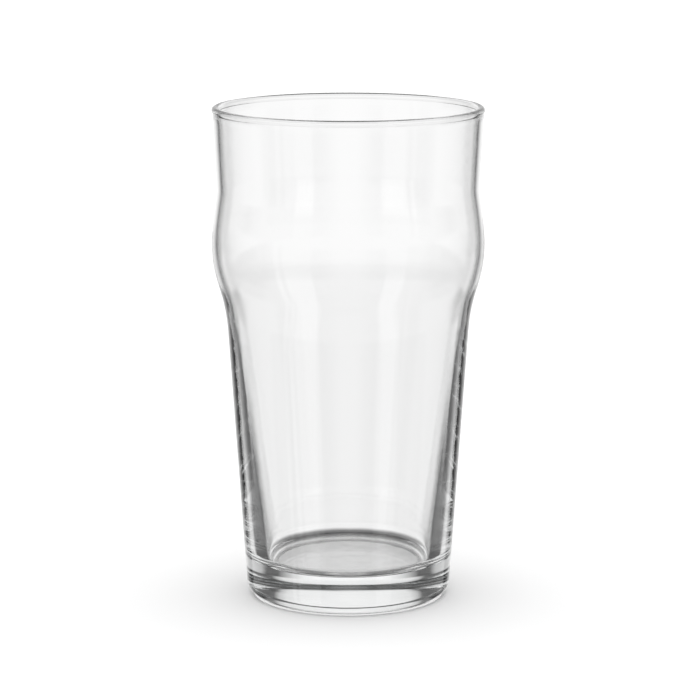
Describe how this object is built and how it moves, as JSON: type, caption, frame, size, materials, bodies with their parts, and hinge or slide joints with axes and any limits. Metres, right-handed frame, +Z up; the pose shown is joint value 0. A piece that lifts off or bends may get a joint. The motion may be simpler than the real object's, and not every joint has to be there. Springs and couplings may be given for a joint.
{
  "type": "pint glass",
  "caption": "Tall clear drinking glass with a rounded rim, a bulge under it for grip and stacking, a tapered wall and a thick solid base.",
  "frame": {"origin": "centre of the base, on the plane that the glass stands on", "axes": "+Z up along the axis of the glass, from the base to the rim; +X and +Y are any two level directions, because the glass is round"},
  "size_m": [0.0852, 0.0852, 0.155],
  "materials": {
    "clear_glass": "clear soda-lime glass, fire-polished, smooth and glossy"
  },
  "bodies": {
    "root": {"glass_body": "clear_glass"}
  },
  "joints": []
}
